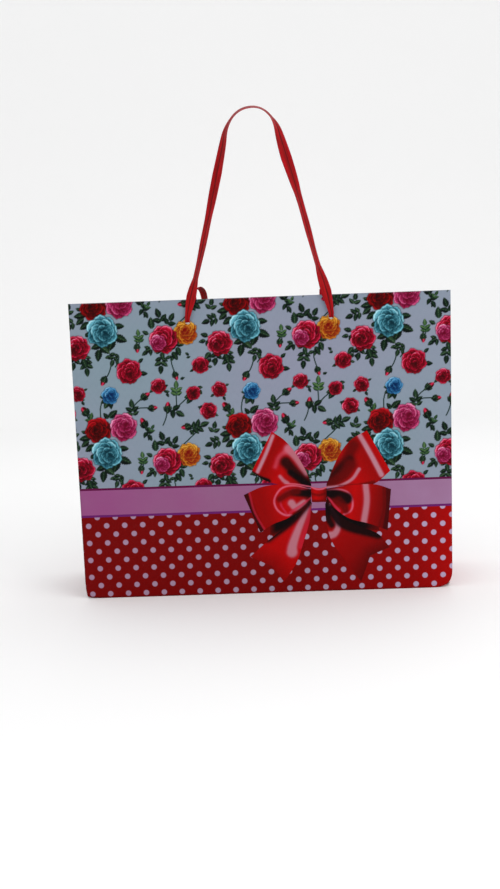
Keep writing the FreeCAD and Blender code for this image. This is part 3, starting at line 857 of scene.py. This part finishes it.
def addBow(name, place, body):
    # every shape gets its own cell of the piece's map
    points, quads, colours, maps = [], [], [], []
    total = 0
    cells = bow["mapCells"]
    for level, shape in enumerate(bowShapes):
        upper, lower = (np.array(edge, float) for edge in shape["edges"])
        length = max(np.linalg.norm(np.diff(edge, axis=0), axis=1).sum() for edge in (upper, lower))
        breadth = np.linalg.norm(upper - lower, axis=1).max()
        rows, columns = int(breadth / bow["step"]) + 2, int(length / bow["step"]) + 2
        v = np.linspace(0, 1, rows)[:, None, None]
        grid = (1 - v) * smoothLine(upper, columns) + v * smoothLine(lower, columns)
        if "notch" in shape:
            # the cut end is drawn in to a swallow tail
            middle = (grid[0, -1] + grid[-1, -1]) / 2
            pull = (np.array(shape["notch"]) - middle) * (1 - np.abs(2 * v - 1))
            grid = grid + pull * (np.linspace(0, 1, columns)[None, :, None] ** 3)
        x, z = grid[..., 0].ravel(), grid[..., 1].ravel()
        u = np.tile(np.linspace(0, 1, columns), rows)
        share, tone = zip(*shape["tones"])
        rgb = np.stack([np.interp(u, share, np.array(tone, float)[:, c]) for c in range(3)], 1)
        for stroke in shape["strokes"]:
            layStroke(x, z, rgb, *stroke)
        face = gridQuads(rows, columns)
        points.append(place((bow["centre"][0] + x) * mm, (bow["centre"][1] + z) * mm,
                            paper["film"] + bow["layer"] * (level + 2)))
        sample = (x[face[0, 1]] - x[face[0, 0]]) * (z[face[0, 3]] - z[face[0, 0]]) \
            - (z[face[0, 1]] - z[face[0, 0]]) * (x[face[0, 3]] - x[face[0, 0]])
        quads.append((face if sample > 0 else face[:, ::-1]) + total)
        colours.append(rgb)
        cell = np.array([level % cells, level // cells])
        inCell = np.stack([u, np.repeat(np.linspace(0, 1, rows), columns)], 1)
        maps.append((cell + bow["mapEdge"] + (1 - 2 * bow["mapEdge"]) * inCell) / cells)
        total += len(x)
    item = makePiece(name, np.concatenate(points), np.concatenate(quads), [flowerPrint], body)
    addColours(item, np.concatenate(colours))
    addMap(item, np.concatenate(maps), "OFBake")


addBow("frontBow", wallPlace(-1), "front_wall")
print("bow")

# ---- gussets: one sheet on each side, bending at its middle crease
crease = 6 * mm
for sideName, side, sidePrint in (("left", -1, leftPrint), ("right", 1, rightPrint)):
    edge = halfDepth - paperThick
    lines = np.concatenate([np.linspace(-edge, -crease, 19), np.linspace(-crease, crease, 7)[1:-1],
                            np.linspace(crease, edge, 19)])
    flip = side < 0
    sheet = paperSheet(f"{sideName}Gusset", lines, np.linspace(0, rimHeight, 113), gussetPlace(side), flip,
                       [], [sidePrint, whitePaper], None)
    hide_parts(f"{sideName}_gusset_front", f"{sideName}_gusset_rear")
    skin = flowerSkin(f"{sideName}GussetFlowers", -edge, edge, paper["sideStep"], gussetPlace(side),
                      lambda a: side * (halfWidth + halfDepth + a), flip, [], None)
    hemLines = np.linspace(-edge + paperThick, edge - paperThick, 33)
    a, b = (grid.ravel() for grid in np.meshgrid(hemLines, np.linspace(hemBottom, rimHeight, 9)))
    quads = gridQuads(9, len(hemLines))
    if flip:
        quads = quads[:, ::-1]
    place = gussetPlace(side)
    points, faces, kinds = closeSheet(place(a, b, -1.2 * paperThick), quads, place(a, b, -2.1 * paperThick))
    hem = makePiece(f"{sideName}GussetHem", points, faces, [whitePaper], None)
    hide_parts(f"{sideName}_gusset_front_hem", f"{sideName}_gusset_rear_hem")
    for piece in (sheet, skin, hem):
        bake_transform(piece)
print("gussets")

# ---- turned-in rim, front and rear: a strip carried along a folded profile
rimFold = {"steps": 8, "flatness": 0.55, "cells": 61, "holeSpan": 90 * mm, "holeCell": 7 * mm}


def foldedRim(wall, side, body):
    # profile from the outer lip, round the fold and down the inside; y counts inward from the wall
    low, high = (np.array(corner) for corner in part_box(f"{wall}_hem"))
    reach = float(high[1] - low[1])
    radius = (reach + paperThick) / 2
    turn = np.linspace(np.pi, 0, rimFold["steps"])
    arcIn = radius * (1 + np.cos(turn))
    arcUp = rimHeight - radius * rimFold["flatness"] * (1 - np.sin(turn))
    inward = np.concatenate([arcIn, [arcIn[-1], arcIn[-1]]])
    upward = np.concatenate([arcUp, [(arcUp[-1] + low[2]) / 2, low[2]]])
    inward = np.concatenate([inward, inward[::-1] - paperThick * np.linspace(0.7, 0.9, len(inward))])
    upward = np.concatenate([upward, upward[::-1] - np.where(upward[::-1] > arcUp.min(), paperThick, 0)])
    across = np.linspace(low[0], high[0], rimFold["cells"])
    nearHoles = linesWithHoles(-rimFold["holeSpan"], rimFold["holeSpan"], rimFold["holeCell"],
                               (-holeAcross, holeAcross), holeRadius)
    across = np.unique(np.concatenate([across, nearHoles]))
    count = len(inward)
    x = np.repeat(across, count)
    y = side * (halfDepth - np.tile(inward, len(across)))
    z = np.tile(upward, len(across))
    points = np.stack([x, y, z], 1)
    start = np.arange(len(across) - 1)[:, None] * count
    step = np.arange(count)[None, :]
    following = (step + 1) % count
    quads = np.stack([(start + step).ravel(), (start + following).ravel(),
                      (start + count + following).ravel(), (start + count + step).ravel()], 1)
    if side > 0:
        quads = quads[:, ::-1]
    return makePiece(f"{wall}Rim", points, quads, [rimPaper], body)


def rimFinish():
    # white stock, but the printed face shows where the sheet turns over the rim
    material, tree, shader = newMaterial("rimPaper", Roughness=0.6)
    place = put(tree, "ShaderNodeTexCoord").outputs["Object"]
    parts = put(tree, "ShaderNodeSeparateXYZ", place)
    over = put(tree, "ShaderNodeMapRange", parts.outputs[2], rimHeight - 0.9 * mm, rimHeight - 0.5 * mm,
               0.0, 1.0).outputs[0]
    fibres = put(tree, "ShaderNodeTexNoise", place, None, 1500.0, 3.0).outputs[0]
    white = ramp(tree, fibres, [(0.2, (216, 215, 211)), (0.8, (236, 235, 231))])
    tree.links.new(mixed(tree, over, white, shown(ground)), shader.inputs["Base Color"])
    addBump(tree, shader, fibres, 0.0002, 0.4)
    return material


rimPaper = rimFinish()
for wall, side, body in (("front", -1, "front_wall"), ("rear", 1, "rear_wall")):
    rim = foldedRim(wall, side, body)
    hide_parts(f"{wall}_hem")
for name in ("front_rim_card", "rear_rim_card"):
    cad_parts[name].data.materials.clear()
    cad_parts[name].data.materials.append(greyBoard)
tabLow, tabHigh = (np.array(corner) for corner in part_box("side_seam_tab"))


def tabPlace(x, z, lift=0.0):
    return wallPlace(1)(x, z, lift - 1.05 * paperThick)


tab = paperSheet("sideSeamTab", np.linspace(tabLow[0], tabHigh[0], 4),
                 np.linspace(tabLow[2], tabHigh[2], 49), tabPlace, True, [],
                 [whitePaper, whitePaper], "rear_wall")
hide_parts("side_seam_tab")
print("rims")


def flatPiece(name, corners, low, thick, cells, materials, body):
    # a thin plate between four corners, given low left, low right, high right, high left
    u, v = (grid.ravel()[:, None] for grid in np.meshgrid(np.linspace(0, 1, cells[0]),
                                                          np.linspace(0, 1, cells[1])))
    c = [np.array(corner, float) for corner in corners]
    flat = (1 - v) * ((1 - u) * c[0] + u * c[1]) + v * ((1 - u) * c[3] + u * c[2])
    under = blunted(np.column_stack([flat, np.full(len(flat), low)]))
    over = blunted(np.column_stack([flat, np.full(len(flat), low + thick)]))
    quads = gridQuads(cells[1], cells[0])[:, ::-1]
    points, faces, kinds = closeSheet(under, quads, over)
    return makePiece(name, points, faces, materials, body, kinds if len(materials) > 1 else None)


for wall in ("front", "rear", "left", "right"):
    low, high = (np.array(corner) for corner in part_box(f"base_flap_{wall}"))
    taper = (high[1] - low[1]) if wall in ("front", "rear") else 0.0
    lowTaper, highTaper = (0, taper) if wall == "front" else (taper, 0)
    corners = [(low[0] + lowTaper, low[1]), (high[0] - lowTaper, low[1]),
               (high[0] - highTaper, high[1]), (low[0] + highTaper, high[1])]
    flap = flatPiece(f"baseFlap{wall.title()}", corners, low[2], high[2] - low[2],
                     (141, 31) if wall in ("front", "rear") else (31, 41),
                     [basePrint, whitePaper], "front_wall")
    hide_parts(f"base_flap_{wall}")
    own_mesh(flap)
low, high = (np.array(corner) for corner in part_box("base_board"))
board = flatPiece("baseBoard", [(low[0], low[1]), (high[0], low[1]), (high[0], high[1]), (low[0], high[1])],
                  low[2], high[2] - low[2], (141, 41), [greyBoard], "base_board")
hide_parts("base_board")
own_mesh(board)
print("base")

# ---- ribbon
ribbon = {"width": 12 * mm, "thick": 0.8 * mm, "rib": 0.9 * mm, "threads": 15, "crease": 0.42,
          "step": 1.6 * mm, "section": 9, "frontLength": 0.485, "rearLength": 0.457}


def ribbonFinish():
    # satin: fine ribs across, threads along, painted shade along a crease off the middle and a painted
    # highlight along each edge
    material, tree, shader = newMaterial("redRibbon", Roughness=0.45, Specular_IOR_Level=0.10,
                                         Sheen_Weight=0.05, Sheen_Tint=(1.0, 0.3, 0.4, 1))
    place = put(tree, "ShaderNodeUVMap", uv_map="surfaceMap").outputs[0]
    parts = put(tree, "ShaderNodeSeparateXYZ", place)
    across, along = parts.outputs[0], parts.outputs[1]
    ribs = calc(tree, "SINE", calc(tree, "MULTIPLY", along, 2 * math.pi / ribbon["rib"]))
    threads = calc(tree, "SINE", calc(tree, "MULTIPLY", across, 2 * math.pi * ribbon["threads"]))
    weave = calc(tree, "MULTIPLY_ADD", ribs, 0.5, calc(tree, "MULTIPLY", threads, 0.5))
    fold = calc(tree, "ABSOLUTE", calc(tree, "SUBTRACT", across, ribbon["crease"]))
    creaseShade = put(tree, "ShaderNodeMapRange", fold, 0.0, 0.10, 0.0, 1.0).outputs[0]
    edgeHighlight = put(tree, "ShaderNodeMapRange", calc(tree, "ABSOLUTE", calc(tree, "SUBTRACT", across, 0.5)),
                   0.40, 0.50, 0.0, 1.0).outputs[0]
    stretched = put(tree, "ShaderNodeCombineXYZ", calc(tree, "MULTIPLY", across, 6.0),
                    calc(tree, "MULTIPLY", along, 45.0), 0.0).outputs[0]
    cloud = put(tree, "ShaderNodeTexNoise", stretched, None, 1.0, 3.0).outputs[0]
    body = ramp(tree, cloud, [(0.30, (120, 0, 8)), (0.55, (154, 0, 14)), (0.75, (182, 4, 30))])
    # painted shade: the ribbon darkens to near black along its crease
    body = mixed(tree, creaseShade, shown((66, 0, 6)), body)
    # painted highlight: each edge of the ribbon is lightened towards pale pink
    body = mixed(tree, calc(tree, "MULTIPLY", edgeHighlight, 0.55), body, shown((196, 30, 62)))
    tree.links.new(body, shader.inputs["Base Color"])
    addBump(tree, shader, weave, 0.00012, 0.6)
    return material


redRibbon = ribbonFinish()


def splinePoints(route):
    # the smooth line of a route, read from its own spline
    curve = bpy.data.curves.new("line", "CURVE")
    curve.dimensions = "3D"
    curve.resolution_u = 16
    spline = curve.splines.new("NURBS")
    spline.points.add(len(route) - 1)
    spline.points.foreach_set("co", np.column_stack([np.array(route) * mm,
                                                     np.ones(len(route))]).ravel())
    spline.order_u = 3
    spline.use_endpoint_u = True
    item = bpy.data.objects.new("line", curve)
    bpy.context.collection.objects.link(item)
    bpy.context.view_layer.update()
    mesh = bpy.data.meshes.new_from_object(item)
    points = np.zeros(len(mesh.vertices) * 3)
    mesh.vertices.foreach_get("co", points)
    bpy.data.objects.remove(item)
    return points.reshape(-1, 3)


def evenly(points, step):
    # the same line with points a step apart
    lengths = np.concatenate([[0], np.cumsum(np.linalg.norm(np.diff(points, axis=0), axis=1))])
    places = np.linspace(0, lengths[-1], max(3, int(lengths[-1] / step)))
    return np.stack([np.interp(places, lengths, points[:, axis]) for axis in range(3)], 1), places


def recalculate(mesh):
    work = bmesh.new()
    work.from_mesh(mesh)
    bmesh.ops.recalc_face_normals(work, faces=work.faces)
    work.to_mesh(mesh)
    work.free()


def carryRibbon(name, line, facing, width, twist, cup, body, thick=ribbon["thick"]):
    # a flat woven section carried along a line: across runs in its two faces, cup bends it lengthwise,
    # and twist turns it about the line from the direction given by facing
    line, places = evenly(line, ribbon["step"])
    share = places / places[-1]
    tangent = np.gradient(line, axis=0)
    tangent /= np.linalg.norm(tangent, axis=1)[:, None]
    up = np.array([facing] * len(line), float)
    for row in range(len(line)):
        # the face turns no more than the line makes it
        carried = up[max(row - 1, 0)]
        carried = carried - tangent[row] * (carried @ tangent[row])
        up[row] = carried / np.linalg.norm(carried)
    side = np.cross(tangent, up)
    angle = np.radians(np.interp(share, *np.array(twist, float).T))[:, None]
    flat = side * np.cos(angle) + up * np.sin(angle)
    face = -side * np.sin(angle) + up * np.cos(angle)
    wide = np.interp(share, *np.array(width, float).T)[:, None] * mm
    hollow = np.interp(share, *np.array(cup, float).T)[:, None] * mm
    a = np.linspace(-1, 1, ribbon["section"])
    a = np.concatenate([a, a[::-1][1:-1]])
    top = np.concatenate([np.ones(ribbon["section"]), -np.ones(ribbon["section"] - 2)])
    fullness = np.sqrt(np.maximum(1 - np.abs(a) ** 5, 0))
    ruck = 0.25 * np.sin(share * 61)[:, None] * np.sin(a * 2.2)[None, :] * mm
    across = a[None, :] * wide / 2
    height = hollow * (a[None, :] ** 2 - 0.4) + ruck + (top * fullness)[None, :] * thick / 2
    points = line[:, None, :] + flat[:, None, :] * across[..., None] + face[:, None, :] * height[..., None]
    count = len(a)
    rows = len(line)
    start = np.arange(rows - 1)[:, None] * count
    step = np.arange(count)[None, :]
    following = (step + 1) % count
    total = rows * count
    quads = np.stack([(start + step).ravel(), (start + following).ravel(),
                      (start + count + following).ravel(), (start + count + step).ravel()], 1)
    faces = quads.tolist() + [list(range(count))[::-1], list(range(total - count, total))]
    mesh = bpy.data.meshes.new(name)
    mesh.from_pydata(points.reshape(-1, 3).tolist(), [], faces)
    mesh.materials.append(redRibbon)
    mesh.polygons.foreach_set("use_smooth", np.full(len(mesh.polygons), True))
    item = bpy.data.objects.new(name, mesh)
    bpy.context.collection.objects.link(item)
    uv = np.stack([np.broadcast_to((a[None, :] + 1) / 2, (rows, count)),
                   np.broadcast_to(places[:, None], (rows, count))], 2).reshape(-1, 2)
    addMap(item, uv)
    recalculate(mesh)
    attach(item, body)
    return item


frontRoute = [
    (-79.0, -62.5, 314.5), (-75.0, -62.5, 334.0), (-65.5, -62.5, 364.0), (-52.0, -62.5, 416.0),
    (-40.5, -62.5, 463.0), (-33.0, -62.5, 494.0), (-28.5, -62.5, 516.0), (-14.5, -62.5, 533.5),
    (8.0, -62.5, 536.0), (24.0, -62.5, 520.5), (30.0, -62.5, 497.0), (40.0, -62.5, 464.0),
    (52.5, -62.5, 417.0), (64.5, -62.5, 368.0), (75.5, -62.5, 334.5), (79.0, -62.5, 314.5),
]
rearRoute = [
    (-79.0, 64.5, 345.0), (-77.5, 66.0, 351.0), (-71.5, 70.5, 353.5), (-67.5, 77.0, 345.0),
    (-66.0, 81.0, 322.0), (-63.5, 83.0, 286.0), (-58.0, 80.5, 243.0), (-49.0, 78.0, 206.0),
    (-34.0, 77.0, 181.0), (-8.0, 77.5, 169.0), (19.0, 77.5, 174.0), (42.0, 78.0, 197.0),
    (54.0, 79.5, 230.0), (64.0, 82.0, 262.0), (71.0, 83.5, 292.0), (75.5, 83.5, 324.0),
    (77.5, 80.0, 346.0), (79.0, 73.0, 354.0), (79.5, 66.0, 351.0), (79.0, 64.5, 345.0),
]


def addHandle(name, node, route, body, ends, facing, width, twist, cup, length):
    line = splinePoints(route)
    full = np.concatenate([np.array(ends[0]) * mm, line, np.array(ends[1]) * mm]) if ends else line
    item = carryRibbon(name, full, facing, width, twist, cup, body)
    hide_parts(node)


# the front ribbon's last points: just inside the paper, then just outside it
holeMm, upMm = holeAcross * 1000, holeHeight * 1000
insideY, outsideY = -halfDepth * 1000 + 0.6, -halfDepth * 1000 - 1.4
frontEnds = ([(-holeMm, insideY, upMm - 0.6), (-holeMm, outsideY, upMm)],
             [(holeMm, outsideY, upMm), (holeMm, insideY, upMm - 0.6)])
addHandle("frontHandleRibbon", "front_handle", frontRoute, "front_handle_loop", frontEnds, (0, -1, 0),
          [(0, 4.5), (0.02, 6.5), (0.06, 11.5), (0.5, 12), (0.94, 12), (0.98, 6.5), (1, 4.5)],
          [(0, 0), (0.05, 10), (0.10, 58), (0.24, 46), (0.33, 30), (0.45, 72), (0.55, 72), (0.64, 8),
           (0.72, 50), (0.88, 60), (0.94, 8), (1, 0)],
          [(0, 1.5), (0.06, 0.6), (0.3, 1.6), (0.5, 0.5), (0.75, 1.6), (0.94, 0.8), (1, 1.5)],
          ribbon["frontLength"])
addHandle("rearHandleRibbon", "rear_handle", rearRoute, "rear_handle_loop", None, (0, 1, 0),
          [(0, 8), (0.05, 11), (0.5, 12), (0.95, 11), (1, 8)],
          [(0, 75), (0.06, 60), (0.2, 20), (0.5, 50), (0.8, 15), (0.93, 0), (1, 0)],
          [(0, 1.0), (0.5, 1.4), (1, 1.0)], ribbon["rearLength"])

knotShape = {"across": 1.75 * mm, "through": 2.2 * mm, "up": 1.6 * mm, "card": 0.8 * mm, "half": 4.5 * mm,
             "neckIn": 2.5 * mm, "frontOut": 2.5 * mm, "rearOut": 4.5 * mm, "riserOver": 0.2 * mm,
             "wrapThick": 1.5 * mm, "neckThick": 1.2 * mm, "endThick": 0.6 * mm}


def addKnot(node, side, across):
    # an overhand knot: one flat ribbon round a trefoil, with its neck through the hole and a cut end
    low, high = (np.array(corner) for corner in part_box(node))
    body = "front_wall" if side < 0 else "rear_wall"
    turn = np.linspace(0, 2 * np.pi, 97)[:-1]
    centreY = side * (halfDepth - 2 * paperThick - knotShape["card"] - knotShape["half"])
    ball = np.stack([across + knotShape["across"] * (np.sin(turn) + 2 * np.sin(2 * turn)),
                     centreY + knotShape["through"] * np.sin(3 * turn),
                     holeHeight + knotShape["up"] * (np.cos(turn) - 2 * np.cos(2 * turn))], 1)
    name = node.replace("_", " ").title().replace(" ", "")
    name = name[0].lower() + name[1:]
    knot = carryRibbon(f"{name}Wrap", np.concatenate([ball, ball[:1]]), (0, side, 0.3),
                       [(0, 4.2), (1, 4.2)], [(0, 0), (0.5, 90), (1, 0)], [(0, 0.7), (1, 0.7)], body,
                       knotShape["wrapThick"])
    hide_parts(node)
    inner = centreY - side * knotShape["neckIn"]
    outer = side * (halfDepth + knotShape["frontOut" if side < 0 else "rearOut"])
    neckLine = [(across, inner, holeHeight), (across, (inner + outer) / 2, holeHeight + 0.2 * mm)]
    if side < 0:
        neckLine += [(across, side * (halfDepth + 1.2 * mm), holeHeight)]
    else:
        neckLine += [(across, side * (halfDepth + 1.5 * mm), holeHeight + 0.5 * mm),
                     (across, outer - 0.8 * mm, holeHeight + 4 * mm), (across, outer, holeHeight + 12 * mm),
                     (across, outer, holeHeight + 24 * mm),
                     (across, outer, rearRoute[0][2] * mm + knotShape["riserOver"])]
    widths = [(0, 4.4), (1, 4.4)] if side < 0 else [(0, 4.4), (0.30, 5.0), (0.6, 9.0), (1, 8)]
    twists = [(0, 0), (1, 0)] if side < 0 else [(0, 0), (0.4, 10), (1, 75 if across < 0 else 0)]
    carryRibbon(f"{name}Neck", np.array(neckLine), (0, 0, -side), widths, twists,
                [(0, 1.2), (1, 1.0)], body, knotShape["neckThick"])
    droop = -1 if across > 0 else 1
    tail = np.array([(across + droop * 1 * mm, centreY - side * 1 * mm, holeHeight - 3 * mm),
                     (across + droop * 3 * mm, centreY - side * 2.5 * mm, holeHeight - 8 * mm),
                     (across + droop * 4 * mm, centreY - side * 2 * mm, holeHeight - 14 * mm),
                     (across + droop * 4.4 * mm, centreY - side * 1 * mm, holeHeight - 20 * mm)])
    carryRibbon(f"{name}End", tail, (0, side, 0), [(0, 6), (0.4, 10), (1, 11.5)], [(0, 15), (1, -8)],
                [(0, 1.2), (1, 0.4)], body, knotShape["endThick"])


for node, side, across in (("front_knot_left", -1, -holeAcross), ("front_knot_right", -1, holeAcross),
                           ("rear_knot_left", 1, -holeAcross), ("rear_knot_right", 1, holeAcross)):
    addKnot(node, side, across)
print("ribbons and knots")

low, high = cadBounds
shownLow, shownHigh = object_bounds()
{"cad": [list(low), list(high)], "shown": [list(shownLow), list(shownHigh)]}
